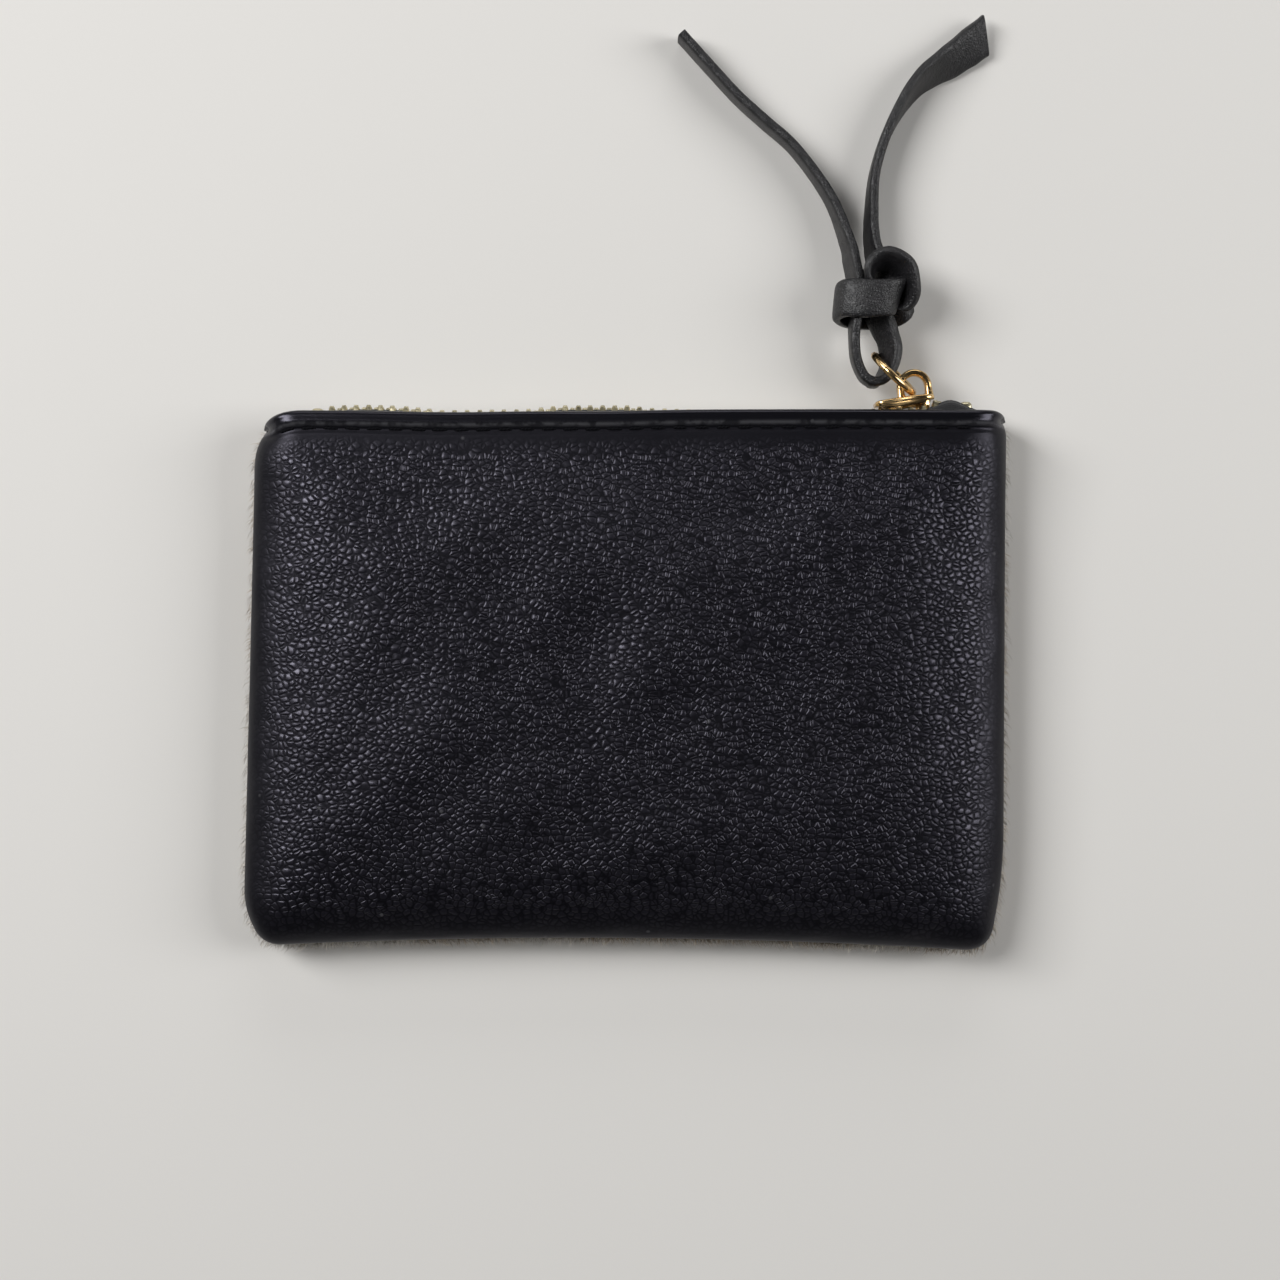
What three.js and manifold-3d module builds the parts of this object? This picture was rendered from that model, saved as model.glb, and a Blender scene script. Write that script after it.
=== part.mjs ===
import * as THREE from 'three';
import { mergeVertices } from 'three/addons/utils/BufferGeometryUtils.js';
import Module from 'manifold-3d';

const wasm = await Module();
wasm.setup();

// A small zip pouch lying on its back: +X along the zip, +Y towards the zip, +Z up through the front.
// The origin is the middle of the flat patch that it rests on. All sizes are in millimetres.

// Pouch body
const pouchWidth = 124; // between the side seams, half way up
const pouchHeight = 88; // from the bottom seam to the turned top edge
const pouchThickness = 15; // plumped out, from the resting face to the top of the front
const sideLean = 1.5; // how far the left side leans out towards the bottom
const bottomNip = 2.4; // how far the bottom corners are drawn in
const bottomBow = 1.6; // how far the middle of the bottom seam is drawn up
const topLeftRadius = 8;
const topRightRadius = 3;
const bottomRadius = 6;
const topEdgeDip = 1.8; // how much lower the front lies along the top edge
const leatherThickness = 1.2;
const hideThickness = 1.4;
const liningThickness = 0.5;
const gap = 0.3; // between pieces that meet

// Mouth and zip chain
const mouthClearance = 0.3; // from the slider's flanges to the tapes beside them
const mouthTaper = 5; // length over which the mouth closes at each end
const stitchInset = 2.8; // from the turned edge to the row of stitches
const threadWidth = 0.4;
const tapeThickness = 0.4;
const tapeWidth = 4.4; // the part that lies under the turned edge
const toothPitch = 2.02;
const toothWidth = 0.7;
const toothDepth = 2.2; // across the chain's thickness
const toothReach = 2.6; // from the outer side of the bead to the tip
const toothOverlap = 0.8; // how far the tips of the two rows pass each other
const beadWidth = 0.7;
const chainInset = 0.4; // from the turned edge to the middle of the chain
const stopLength = 2.2;
const leftEndMargin = 11; // from the left seam to the bottom stop
const rightEndMargin = 6.7; // from the right seam to the top stops
const chainLift = 1.2; // how far the chain rises beside the slider
const chainSpread = 0.9; // how far each row turns aside in front of the slider

// Slider, ring and lace
const sliderLength = 9.7;
const sliderPlate = 0.8;
const sliderFlange = 0.5;
const sliderTilt = 7; // degrees
const sliderFromStop = 9.6; // from the middle of the slider to the top stops
const bridgeWidth = 2.2;
const bridgeBar = 1;
const bridgeRadius = 2.9; // outer radius of the arch
const bridgeHeight = 4.6; // above the plate
const ringRadius = 4.4; // to the middle of the wire
const ringWire = 1.2; // diameter
const ringAngle = 136; // degrees, the way the ring points from the bridge
const ringRoll = 12; // degrees, how far the ring leans out of the upright
const laceWidth = 6.2;
const laceLoopWidth = 5; // drawn in where it passes through the ring
const laceThickness = 1.7;

// Derived places
const halfWidth = pouchWidth / 2;
const halfHeight = pouchHeight / 2;
const seamHeight = pouchThickness / 2;
const channelClearance = 1.9; // from the chain's middle to each plate of the tilted slider
const chainY = halfHeight - chainInset;
const topStopX = halfWidth - rightEndMargin;
const bottomStopX = leftEndMargin - halfWidth;
const sliderX = topStopX - sliderFromStop;
const rowHalf = toothReach - toothOverlap / 2; // from the middle of the chain to the outer side of a bead
// From the slider's middle out to the tape's flat leg, then between the two turned edges
const tapeHalf = rowHalf + gap + chainSpread + sliderFlange + mouthClearance;
const mouthGap = 2 * (tapeHalf + tapeThickness + gap);

const smooth = THREE.MathUtils.smoothstep;
const radians = THREE.MathUtils.degToRad;

function material(color, roughness, metalness) {
  return new THREE.MeshStandardMaterial({ color, roughness, metalness });
}

const blackLeather = material(0x17171c, 0.45, 0);
const paleHide = material(0xb9b2a4, 0.9, 0);
const liningCloth = material(0x2a2a2e, 0.95, 0);
const blackTape = material(0x121214, 0.9, 0);
const blackThread = material(0x0c0c0e, 0.7, 0);
const palebrass = material(0xb8ac7c, 0.35, 1);
const gold = material(0xd9a441, 0.2, 1);

const pouch = new THREE.Group();

function addPart(name, geometry, look, parent = pouch) {
  const mesh = new THREE.Mesh(geometry, look);
  mesh.name = name;
  parent.add(mesh);
  return mesh;
}

// ---- shapes ----

// A closed skin from one pole to another over loops of equal length, counter-clockwise seen from the first pole.
function closedSkin(firstPole, loops, lastPole, inverted) {
  const count = loops[0].length;
  const points = [firstPole, ...loops.flat(), lastPole];
  const at = (loop, i) => 1 + loop * count + (i % count);
  const faces = [];
  for (let i = 0; i < count; i++) {
    faces.push([0, at(0, i), at(0, i + 1)]);
    for (let loop = 1; loop < loops.length; loop++) {
      faces.push([at(loop - 1, i), at(loop, i), at(loop, i + 1)]);
      faces.push([at(loop - 1, i), at(loop, i + 1), at(loop - 1, i + 1)]);
    }
    faces.push([points.length - 1, at(loops.length - 1, i + 1), at(loops.length - 1, i)]);
  }
  if (inverted) faces.forEach((face) => face.reverse());
  const geometry = new THREE.BufferGeometry().setFromPoints(points);
  geometry.setIndex(faces.flat());
  return geometry;
}

// Moves each vertex of a geometry by a function of its place.
function displace(geometry, move) {
  const position = geometry.attributes.position;
  const point = new THREE.Vector3();
  for (let i = 0; i < position.count; i++) {
    move(point.fromBufferAttribute(position, i));
    position.setXYZ(i, point.x, point.y, point.z);
  }
  return geometry;
}

// A profile drawn in the YZ plane, carried along X.
function alongX(profile, from, to, steps) {
  const settings = { depth: to - from, steps, bevelEnabled: false, curveSegments: 6 };
  const turn = new THREE.Matrix4().set(0, 0, 1, from, 1, 0, 0, 0, 0, 1, 0, 0, 0, 0, 0, 1);
  return new THREE.ExtrudeGeometry(profile, settings).applyMatrix4(turn);
}

// A profile drawn in the XZ plane, carried along Y.
function alongY(profile, from, to) {
  const settings = { depth: to - from, bevelEnabled: false, curveSegments: 5 };
  return new THREE.ExtrudeGeometry(profile, settings).rotateX(Math.PI / 2).translate(0, to, 0);
}

function polygon(points) {
  return new THREE.Shape(points.map(([x, y]) => new THREE.Vector2(x, y)));
}

function solidOf(geometry) {
  const bare = geometry.clone();
  bare.deleteAttribute('normal');
  bare.deleteAttribute('uv');
  const merged = mergeVertices(bare, 1e-4);
  return new wasm.Manifold(new wasm.Mesh({
    numProp: 3,
    vertProperties: new Float32Array(merged.attributes.position.array),
    triVerts: new Uint32Array(merged.index.array),
  }));
}

function geometryOf(solid) {
  const mesh = solid.getMesh();
  const geometry = new THREE.BufferGeometry();
  geometry.setAttribute('position', new THREE.BufferAttribute(mesh.vertProperties, 3));
  geometry.setIndex(new THREE.BufferAttribute(mesh.triVerts, 1));
  return geometry;
}

// ---- leather, hide and lining ----

// The seam's outline, counter-clockwise: straight top edge, leaning left side, drawn-in bottom corners.
function outlinePath() {
  const corners = [
    [halfWidth + 0.6, halfHeight, topRightRadius],
    [-halfWidth + sideLean / 2, halfHeight, topLeftRadius],
    [-halfWidth - sideLean, -halfHeight + bottomRadius, bottomRadius * 0.6],
    [-halfWidth - sideLean / 2 + bottomNip, -halfHeight, bottomRadius * 0.6],
    [halfWidth - bottomNip, -halfHeight - 1, bottomRadius * 0.7],
    [halfWidth, -halfHeight + 2 * bottomRadius, bottomRadius],
  ].map(([x, y, radius]) => ({ point: new THREE.Vector2(x, y), radius }));
  const path = new THREE.Path();
  corners.forEach(({ point, radius }, i) => {
    const before = corners.at(i - 1).point;
    const after = corners[(i + 1) % corners.length].point;
    const enter = point.clone().lerp(before, radius / point.distanceTo(before));
    const leave = point.clone().lerp(after, radius / point.distanceTo(after));
    if (i === 0) path.moveTo(enter.x, enter.y);
    else path.lineTo(enter.x, enter.y);
    path.quadraticCurveTo(point.x, point.y, leave.x, leave.y);
  });
  path.closePath();
  return path;
}

// The outline as points: three to a rounded corner, and closer together towards the ends of each side.
function outlinePoints() {
  const stretch = 12;
  const points = [];
  for (const curve of outlinePath().curves) {
    const steps = Math.max(3, Math.ceil(curve.getLength() / stretch));
    for (let i = 0; i < steps; i++) {
      const even = i / steps;
      points.push(curve.getPoint(curve.isLineCurve ? (1 - Math.cos(Math.PI * even)) / 2 : even));
    }
  }
  for (const point of points) {
    const middle = 1 - (point.x / halfWidth) ** 2;
    if (point.y < -halfHeight * 0.9) point.y += bottomBow * Math.max(0, middle);
  }
  return points;
}

// Half the mouth's opening at a place along the zip: full between the ends, closed at the side seams.
function mouthHalf(x, margin) {
  const fromEnd = (halfWidth - Math.abs(x) - margin) / mouthTaper;
  return (mouthGap / 2) * Math.sqrt(smooth(fromEnd, 0, 1));
}

// Height of a panel's rim above the seam: nothing at the sides and bottom, the mouth's half opening on top.
// A layer that stops short of the mouth keeps the same margin from the mouth's ends.
function rimHeight(point, margin) {
  return gap / 2 + mouthHalf(point.x, margin) * smooth(point.y, halfHeight * 0.955, halfHeight * 0.99);
}

// Full height of the swollen panel above the seam, lower along the top edge.
function crownHeight(side, y) {
  if (side < 0) return seamHeight;
  return pouchThickness - seamHeight - topEdgeDip * smooth(y, halfHeight * 0.6, halfHeight);
}

// One shell layer: swollen like a cushion (height goes as the root of 1 - s^8 from rim to middle), and open
// at its rim. inset is how far the layer's outer face lies inside the seam line.
function panelLayer(side, outline, inset, thickness, topInset) {
  const fractions = [0.39, 0.675, 0.867, 0.971, 1];
  const surface = (depth, depthTop) => fractions.map((s) => outline.map((edge) => {
    const x = edge.x * s * (1 - depth / halfWidth);
    const y = edge.y * s * (1 - (edge.y > 0 ? depthTop : depth) / halfHeight);
    const rim = rimHeight(edge, topInset);
    const rise = Math.min(1, (side < 0 ? 1.03 : 1) * Math.sqrt(1 - s ** 8));
    const top = crownHeight(side, y) - depth;
    return new THREE.Vector3(x, y, seamHeight + side * (rim + (top - rim) * rise));
  }));
  const pole = (depth) => new THREE.Vector3(0, 0, seamHeight + side * (crownHeight(side, 0) - depth));
  const outer = surface(inset, topInset);
  const inner = surface(inset + thickness, topInset + thickness).reverse();
  return closedSkin(pole(inset), [...outer, ...inner], pole(inset + thickness), side < 0);
}

function addPanels() {
  const outline = outlinePoints();
  const liningTop = tapeWidth + gap + tapeThickness;
  addPart('front_panel', panelLayer(1, outline, 0, leatherThickness, 0), blackLeather);
  addPart('back_panel', panelLayer(-1, outline, 0, hideThickness, 0), paleHide);
  const frontInset = leatherThickness + gap;
  const backInset = hideThickness + gap;
  addPart('front_lining', panelLayer(1, outline, frontInset, liningThickness, liningTop), liningCloth);
  addPart('back_lining', panelLayer(-1, outline, backInset, liningThickness, liningTop), liningCloth);
}

// A straight run of thread along each turned edge, clear of the leather's face.
function addTopstitch(name, side) {
  const y = halfHeight - stitchInset;
  const edge = mouthGap / 2 + gap / 2;
  const crown = crownHeight(side, y);
  const face = edge + (crown - edge) * Math.sqrt(1 - (y / halfHeight) ** 8);
  const near = seamHeight + side * (face + gap);
  const far = near + side * threadWidth;
  const profile = polygon([
    [y, Math.min(near, far)],
    [y + threadWidth, Math.min(near, far)],
    [y + threadWidth, Math.max(near, far)],
    [y, Math.max(near, far)],
  ]);
  const reach = halfWidth - topLeftRadius;
  addPart(name, alongX(profile, -reach, reach, 1), blackThread);
}

// ---- zip ----

// The chain rises beside the slider and dives again at the top stops.
function lift(x) {
  const start = sliderX - 1.7;
  return chainLift * (smooth(x, start, start + 8) - smooth(x, topStopX - 3, topStopX + 3));
}

// Each row turns aside in front of the slider's divider.
function spread(x) {
  return chainSpread * smooth(x, sliderX - 3.2, sliderX + 3.8);
}

// Tape: a leg under the turned edge and a leg that stands in the mouth and carries the teeth.
function addTape(name, side) {
  const outerZ = mouthGap / 2 - gap;
  const innerZ = outerZ - tapeThickness;
  const legZ = rowHalf + gap;
  const profile = polygon([
    [chainY - tapeWidth, side * innerZ],
    [chainY - tapeThickness / 2, side * innerZ],
    [chainY - tapeThickness / 2, side * legZ],
    [chainY + tapeThickness / 2, side * legZ],
    [chainY + tapeThickness / 2, side * outerZ],
    [chainY - tapeWidth, side * outerZ],
  ]);
  const from = bottomStopX - stopLength;
  const to = topStopX + stopLength / 4;
  const flat = chainY - tapeThickness; // the ends of the flat leg are cut back to here on a slant
  const geometry = displace(alongX(profile, from, to, 28), (point) => {
    const cutBack = smooth(Math.abs(point.x), halfWidth - 14, halfWidth - 8);
    if (point.y < flat) point.y += (flat - point.y) * cutBack;
    if (point.y > chainY - tapeThickness) point.y += lift(point.x);
    if (Math.abs(point.z) < innerZ - 0.01) point.z = side * Math.min(innerZ - 0.05, legZ + spread(point.x));
    point.z += seamHeight;
  });
  addPart(name, geometry, blackTape);
}

// A row of teeth that point across the chain from the bead that carries them.
function addTeeth(name, side) {
  const from = bottomStopX + stopLength / 2 + gap;
  const to = topStopX - stopLength / 2 - gap;
  const count = Math.floor((to - from - toothPitch / 2) / toothPitch);
  const shift = side > 0 ? 0 : toothPitch / 2;
  const low = chainY - toothDepth / 2;
  const high = chainY + toothDepth / 2;
  const ends = [side * (rowHalf - beadWidth), side * rowHalf].sort((a, b) => a - b);
  const section = polygon([[low, ends[0]], [high, ends[0]], [high, ends[1]], [low, ends[1]]]);
  const bead = displace(alongX(section, from, to, count), (point) => {
    point.y += lift(point.x);
    point.z += seamHeight + side * spread(point.x);
  });
  let row = solidOf(bead);
  const reach = toothReach - beadWidth / 2;
  for (let i = 0; i < count; i++) {
    const x = from + shift + (i + 0.5) * toothPitch;
    const tooth = new THREE.BoxGeometry(toothWidth, toothDepth * 0.9, reach);
    const middle = rowHalf - toothReach + reach / 2;
    tooth.translate(x, chainY + lift(x), seamHeight + side * (middle + spread(x)));
    row = row.add(solidOf(tooth));
  }
  addPart(name, geometryOf(row), palebrass);
}

// A clamped block, given by its place along the zip and its reach across it.
function addStop(name, x, lowZ, highZ) {
  const block = new THREE.BoxGeometry(stopLength, toothDepth, highZ - lowZ);
  block.translate(x, chainY + lift(x), seamHeight + (lowZ + highZ) / 2);
  addPart(name, block, palebrass);
}

function addZip() {
  for (const [name, side] of [['front', 1], ['back', -1]]) {
    addTape(`zip_tape_${name}`, side);
    addTeeth(`zip_teeth_${name}`, side);
  }
  addStop('bottom_stop', bottomStopX, -rowHalf, rowHalf);
  const inner = rowHalf + chainSpread - toothReach / 2;
  const outer = rowHalf + chainSpread;
  addStop('top_stop_front', topStopX, inner, outer);
  addStop('top_stop_back', topStopX, -outer, -inner);
}

// ---- slider ----

// Half the width of the channel that the beads run in, at places along the slider.
const channel = [[-6, 0], [-3.2, 0], [0.3, 0.5], [3.8, 1], [6, 1.05]].map(
  ([u, part]) => [u, rowHalf + gap + part * chainSpread],
);

function bothSides(points, extra) {
  const upper = points.map(([u, w]) => [u, w + extra]);
  const lower = points.map(([u, w]) => [u, -w - extra]).reverse();
  return polygon([...lower.reverse(), ...upper.reverse()]);
}

// Plate outline: the channel and its flanges, cut to length with drawn-in ends.
function plateOutline() {
  const half = sliderLength / 2;
  const rear = rowHalf + gap + sliderFlange;
  const front = rear + chainSpread;
  const shape = new THREE.Shape();
  shape.moveTo(-half, -rear + 0.9);
  shape.quadraticCurveTo(-half, -rear, -half + 0.9, -rear);
  shape.lineTo(-3, -rear);
  shape.lineTo(half - 2, -front);
  shape.quadraticCurveTo(half, -front, half, -front + 1.6);
  shape.lineTo(half, front - 1.6);
  shape.quadraticCurveTo(half, front, half - 2, front);
  shape.lineTo(-3, rear);
  shape.lineTo(-half + 0.9, rear);
  shape.quadraticCurveTo(-half, rear, -half, rear - 0.9);
  return shape;
}

function sliderSolid() {
  const inner = channelClearance;
  const outer = inner + sliderPlate;
  const lip = inner - sliderFlange;
  const outline = plateOutline();
  const channelShape = bothSides(channel, 0);
  const top = solidOf(alongY(outline, lip, outer)).subtract(solidOf(alongY(channelShape, lip - 1, inner)));
  const bottom = solidOf(alongY(outline, -outer, -lip)).subtract(solidOf(alongY(channelShape, -inner, 1 - lip)));
  const divider = polygon([[1.7, 0], [2.6, -0.33], [4.3, -0.48], [4.7, 0], [4.3, 0.48], [2.6, 0.33]]);
  return top.add(bottom).add(solidOf(alongY(divider, -inner - 0.1, inner + 0.1)));
}

// An upright arch over the top plate, standing the clearance above it.
function bridgeGeometry() {
  const inner = bridgeRadius - bridgeBar;
  const leg = bridgeHeight - bridgeRadius;
  const shape = new THREE.Shape();
  shape.moveTo(-bridgeRadius, gap);
  shape.lineTo(-bridgeRadius, leg);
  shape.absarc(0, leg, bridgeRadius, Math.PI, 0, true);
  shape.lineTo(bridgeRadius, gap);
  shape.lineTo(inner, gap);
  shape.lineTo(inner, leg);
  shape.absarc(0, leg, inner, 0, Math.PI, false);
  shape.lineTo(-inner, gap);
  const settings = { depth: bridgeWidth, bevelEnabled: false, curveSegments: 10 };
  return new THREE.ExtrudeGeometry(shape, settings).translate(0, 0, -bridgeWidth / 2);
}

const bridgeForward = 2; // from the slider's middle to the arch's middle

function addSlider() {
  const slider = new THREE.Group();
  slider.position.set(sliderX, chainY, seamHeight);
  slider.rotation.z = radians(sliderTilt);
  pouch.add(slider);
  addPart('slider_body', geometryOf(sliderSolid()), gold, slider);
  const bridge = addPart('slider_bridge', bridgeGeometry(), gold, slider);
  bridge.position.set(bridgeForward, channelClearance + sliderPlate, 0);
}

// ---- ring and lace ----

// The ring's wire passes through the arch here; the ring swings about this upright line.
const ringPivot = new THREE.Vector2(bridgeForward - 0.3, channelClearance + sliderPlate + gap + ringWire / 2)
  .rotateAround(new THREE.Vector2(), radians(sliderTilt))
  .add(new THREE.Vector2(sliderX, chainY));
const ringAway = new THREE.Vector2(Math.cos(radians(ringAngle)), Math.sin(radians(ringAngle)));
const ringCentre = ringPivot.clone().addScaledVector(ringAway, ringRadius);

function addRing() {
  const ring = new THREE.TorusGeometry(ringRadius, ringWire / 2, 8, 24);
  ring.rotateX(Math.PI / 2 + radians(ringRoll));
  const mesh = addPart('pull_ring', ring, gold);
  mesh.position.set(ringCentre.x, ringCentre.y, seamHeight);
  mesh.rotation.z = radians(ringAngle - 180);
}

// A path whose strip stands on its edge: the section's long side stays close to upright.
class UprightPath extends THREE.CatmullRomCurve3 {
  computeFrenetFrames(segments) {
    const frames = { tangents: [], normals: [], binormals: [] };
    const up = new THREE.Vector3(0, 0, 1);
    for (let i = 0; i <= segments; i++) {
      const tangent = this.getTangentAt(i / segments);
      const binormal = up.clone().addScaledVector(tangent, -up.dot(tangent)).normalize();
      frames.tangents.push(tangent);
      frames.binormals.push(binormal);
      frames.normals.push(new THREE.Vector3().crossVectors(binormal, tangent));
    }
    return frames;
  }
}

// A flat strip's section with eight sides.
function stripSection(width) {
  const x = laceThickness / 2;
  const y = width / 2;
  const cut = laceThickness / 4;
  return polygon([
    [x - cut, -y], [x, cut - y], [x, y - cut], [x - cut, y],
    [cut - x, y], [-x, y - cut], [-x, cut - y], [cut - x, -y],
  ]);
}

// The lace's route from the ring's middle, with heights above the resting surface. Its upright strip lies on
// its edge along the tails.
const tailHeight = laceWidth / 2 + gap;
const knotHeight = seamHeight - 0.2;
const loopPoints = [
  [-5.7, 6, knotHeight], [-6.1, 4.2, seamHeight], [-6, 1.9, seamHeight], [-5.1, -0.4, seamHeight],
  [-3.3, -1.6, seamHeight], [-1.7, -0.6, seamHeight], [-0.9, 1.6, seamHeight], [-1, 4, seamHeight],
  [-1.7, 6, knotHeight],
];
const tailLeftPoints = [
  [-6.4, 20, 5.4], [-8, 24.6, 4.2], [-10.4, 29.6, tailHeight], [-16, 37.6, tailHeight],
  [-25.8, 46.6, tailHeight], [-35, 56.6, tailHeight],
];
const tailRightPoints = [
  [-3.2, 20, 5.6], [-3.4, 26.5, 4.4], [-2.5, 33.6, tailHeight], [0.2, 41.6, tailHeight],
  [5, 48.8, tailHeight], [15.6, 58.2, tailHeight],
];
const knotCentre = [-2.6, 13, knotHeight];
const knotRadii = [6, 6.5, 4.8];

function strip(points, width, steps) {
  const extrudePath = new UprightPath(points.map((point) => new THREE.Vector3(...point)));
  return new THREE.ExtrudeGeometry(stripSection(width), { steps, extrudePath });
}

function addLace() {
  const lace = new THREE.Group();
  lace.position.set(ringCentre.x, ringCentre.y, 0);
  pouch.add(lace);
  addPart('lace_loop', strip(loopPoints, laceLoopWidth, 16), blackLeather, lace);
  addPart('lace_tail_left', strip(tailLeftPoints, laceWidth, 12), blackLeather, lace);
  addPart('lace_tail_right', strip(tailRightPoints, laceWidth, 12), blackLeather, lace);
  const knot = new THREE.SphereGeometry(1, 14, 9).rotateX(Math.PI / 2).scale(...knotRadii);
  addPart('lace_knot', knot, blackLeather, lace).position.set(...knotCentre);
}

addPanels();
addTopstitch('front_topstitch', 1);
addTopstitch('back_topstitch', -1);
addZip();
addSlider();
addRing();
addLace();

export default pouch;
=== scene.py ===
from math import cos, pi, radians, sin

import bpy
import numpy as np
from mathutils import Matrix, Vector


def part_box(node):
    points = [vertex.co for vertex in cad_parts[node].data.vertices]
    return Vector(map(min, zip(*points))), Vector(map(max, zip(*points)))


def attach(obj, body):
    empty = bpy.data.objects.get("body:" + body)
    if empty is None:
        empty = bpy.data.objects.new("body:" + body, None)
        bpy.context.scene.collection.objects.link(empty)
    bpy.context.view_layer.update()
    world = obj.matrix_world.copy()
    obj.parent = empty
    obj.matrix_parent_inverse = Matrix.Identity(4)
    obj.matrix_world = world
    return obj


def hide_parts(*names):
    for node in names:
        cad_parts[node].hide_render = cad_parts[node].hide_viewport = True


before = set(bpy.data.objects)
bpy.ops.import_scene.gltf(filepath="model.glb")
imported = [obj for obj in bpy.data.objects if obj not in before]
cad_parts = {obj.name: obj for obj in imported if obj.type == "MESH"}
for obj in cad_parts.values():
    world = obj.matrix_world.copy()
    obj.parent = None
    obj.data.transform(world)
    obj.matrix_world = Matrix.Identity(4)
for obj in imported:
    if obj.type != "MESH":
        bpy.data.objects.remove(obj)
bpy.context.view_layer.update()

# The pouch lies on its back: +X along the zip, +Y towards the zip, +Z up through the front.
# Shapes are worked out in millimetres and go into their meshes in metres.
mm = 0.001


def boxOf(node):
    low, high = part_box(node)
    return np.array(low) / mm, np.array(high) / mm


frontLow, frontHigh = boxOf("front_panel")
backLow, backHigh = boxOf("back_panel")
seamZ = (frontLow[2] + backHigh[2]) / 2
rise = frontHigh[2] - seamZ


def smooth(value, low, high):
    t = np.clip((value - low) / (high - low), 0, 1)
    return t * t * (3 - 2 * t)


def mix(a, b, t):
    return a + (b - a) * t


# a handful of sine waves in random directions, which add up to about 1 mm
def waves(points, length, seed, count=10):
    rng = np.random.default_rng(seed)
    angle = rng.uniform(0, 2 * pi, count)
    size = 2 * pi / (length * rng.uniform(0.7, 1.4, count))
    phase = rng.uniform(0, 2 * pi, count)
    along = points[:, :1] * np.cos(angle) + points[:, 1:2] * np.sin(angle)
    return np.sin(along * size + phase).sum(1) / np.sqrt(count)


# values at even steps along a line of points, by its length
def resample(points, share):
    steps = np.linalg.norm(np.diff(points, axis=0), axis=1)
    length = np.concatenate([[0], np.cumsum(steps)])
    length /= length[-1]
    return np.stack([np.interp(share, length, points[:, k]) for k in range(points.shape[1])], 1)


# a smooth curve through every row of values: each span is a cubic whose ends lean along their neighbours
def throughPoints(values, perSpan):
    v = np.asarray(values, float)
    p = np.concatenate([[2 * v[0] - v[1]], v, [2 * v[-1] - v[-2]]])
    t = (np.arange(perSpan) / perSpan)[None, :, None]
    a, b, c, d = (p[k:len(v) - 1 + k][:, None, :] for k in range(4))
    spans = 0.5 * (2 * b + (c - a) * t + (2 * a - 5 * b + 4 * c - d) * t**2 + (3 * b - a - 3 * c + d) * t**3)
    return np.concatenate([spans.reshape(-1, v.shape[1]), v[-1:]])


def newMesh(name, vertices, faces, smoothed=True):
    mesh = bpy.data.meshes.new(name)
    mesh.from_pydata((np.asarray(vertices) * mm).tolist(), [], faces)
    mesh.update()
    if smoothed:
        mesh.shade_smooth()
    obj = bpy.data.objects.new(name, mesh)
    bpy.context.scene.collection.objects.link(obj)
    return obj


# quads of a grid with so many rows and columns, wrapped round in either direction
def gridFaces(rows, columns, wrapColumns=False, wrapRows=False, start=0):
    r = np.arange(rows if wrapRows else rows - 1)
    c = np.arange(columns if wrapColumns else columns - 1)
    r, c = np.meshgrid(r, c, indexing="ij")
    r2, c2 = (r + 1) % rows, (c + 1) % columns
    corners = [r * columns + c, r * columns + c2, r2 * columns + c2, r2 * columns + c]
    return np.stack(corners, -1).reshape(-1, 4) + start


def addFloats(obj, name, values):
    attribute = obj.data.attributes.new(name, "FLOAT", "POINT")
    attribute.data.foreach_set("value", np.asarray(values, np.float32))


def addModifier(obj, kind, **settings):
    modifier = obj.modifiers.new(kind.title(), kind)
    for key, value in settings.items():
        setattr(modifier, key, value)
    return modifier


def place(obj, body, material, slot, *nodes):
    obj.data.materials.append(material)
    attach(obj, body)
    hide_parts(*nodes)
    return obj


outlineShape = {
    "topRight": (frontHigh[0] - 0.2, frontHigh[1] - 0.8, 3.4),
    "topLeft": (frontLow[0] + 2.0, frontHigh[1] - 0.8, 8.5),
    "leftLow": (frontLow[0], backLow[1] + 7.2, 3.4),
    "bottomLeft": (frontLow[0] + 3.2, backLow[1] + 0.6, 3.4),
    "bottomRight": (frontHigh[0] - 3.0, backLow[1] - 0.4, 4.6),
    "rightLow": (frontHigh[0] - 0.6, backLow[1] + 13.0, 6.5),
    "bow": 1.9,
    "topWave": 0.35,
    "dips": ((-28, 13, -0.9), (-5, 9, -0.6), (30, 30, 0.5)),  # along the top: where, how wide, how much
}


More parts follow.
